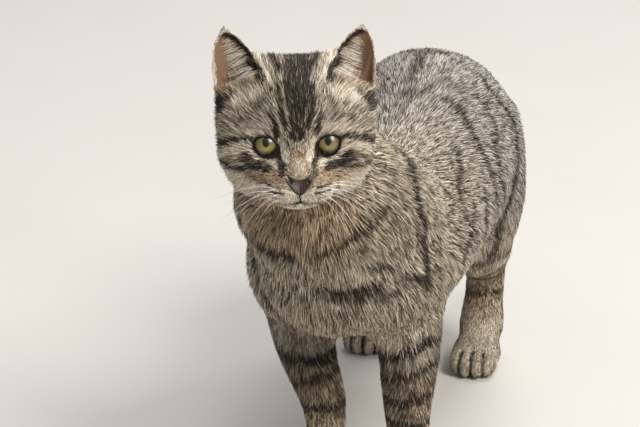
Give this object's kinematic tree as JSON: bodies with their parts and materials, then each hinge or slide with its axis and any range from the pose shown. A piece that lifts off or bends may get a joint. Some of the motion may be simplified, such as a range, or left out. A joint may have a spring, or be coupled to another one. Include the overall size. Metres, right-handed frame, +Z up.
{
  "type": "cat",
  "caption": "Young mackerel tabby cat standing square on flat-soled paws, head raised and turned a little aside, ears up and tail carried low: a still, life-size display model.",
  "frame": {"origin": "on the floor, under the middle of the bounding box", "axes": "+Z up, the cat faces -Y, and its left side is at +X"},
  "size_m": [0.1482, 0.5122, 0.3233],
  "materials": {
    "coat": "short dense tabby fur, grey-brown with near-black stripes, tan throat and cream lips and chin",
    "eye": "wet and clear over an olive-green iris",
    "nose": "moist, finely pebbled dark red-brown nose leather"
  },
  "bodies": {
    "root": {"head": "coat", "neck": "coat", "trunk": "coat", "tail_base": "coat", "tail_middle": "coat", "tail_tip": "coat", "foreleg_left": "coat", "foreleg_right": "coat", "forepaw_left": "coat", "forepaw_right": "coat", "hindleg_left": "coat", "hindleg_right": "coat", "hindpaw_left": "coat", "hindpaw_right": "coat", "ear_left": "coat", "ear_right": "coat", "eye_left": "eye", "eye_right": "eye", "nose": "nose"}
  },
  "joints": []
}
